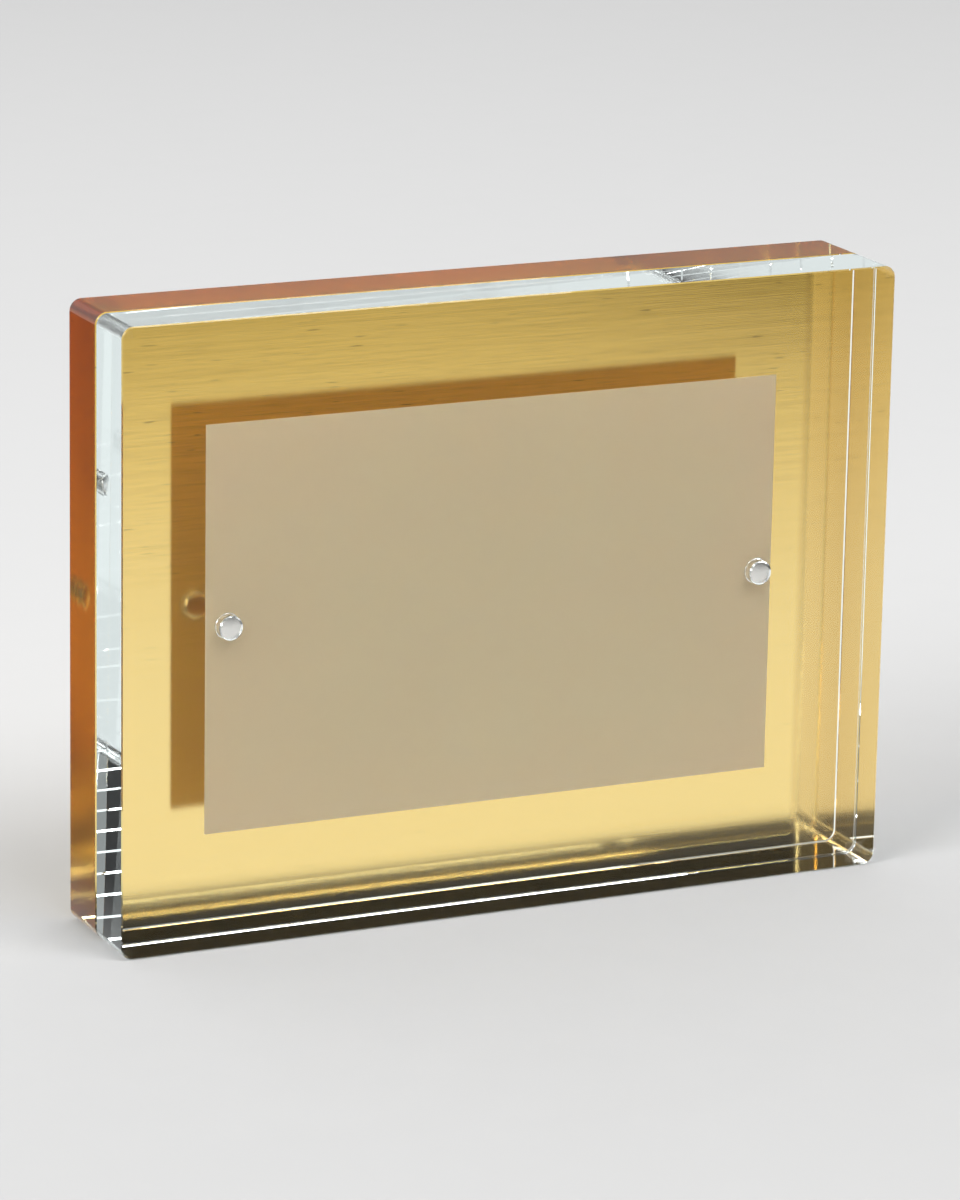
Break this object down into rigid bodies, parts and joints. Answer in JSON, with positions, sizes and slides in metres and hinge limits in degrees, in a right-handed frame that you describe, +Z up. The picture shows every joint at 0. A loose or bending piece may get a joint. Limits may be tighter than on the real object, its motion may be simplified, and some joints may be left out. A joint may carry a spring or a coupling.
{
  "type": "acrylic floating photo frame",
  "caption": "Clear acrylic block frame: magnets hold a front and a rear block together around a photo, over a brushed gold backing.",
  "frame": {"origin": "on the surface that the frame stands on, under the middle of the frame's width and depth", "axes": "+X to the right along the width, +Y from the clear front to the gold back, +Z up"},
  "size_m": [0.205, 0.0348, 0.155],
  "materials": {
    "clear_acrylic": "clear cast acrylic with polished faces and bevels",
    "bond_film": "clear bonding film",
    "gold_sheet": "gold-anodised sheet, brushed from side to side",
    "nickel": "bright nickel plate",
    "card": "plain uncoated card, bare"
  },
  "bodies": {
    "rear_half": {"rear_block": "clear_acrylic", "bond_film": "bond_film", "gold_sheet": "gold_sheet", "magnet_rear_left": "nickel", "magnet_rear_right": "nickel"},
    "front_half": {"front_block": "clear_acrylic", "magnet_front_left": "nickel", "magnet_front_right": "nickel"},
    "photo": {"photo_card": "card"}
  },
  "joints": [
    {"name": "front_pull", "type": "slide", "parent": "rear_half", "child": "front_half", "axis": [0, -1, 0], "range_m": [0, 0.06]},
    {"name": "photo_lift", "type": "slide", "parent": "rear_half", "child": "photo", "axis": [0, 0, 1], "range_m": [0, 0.135]}
  ]
}
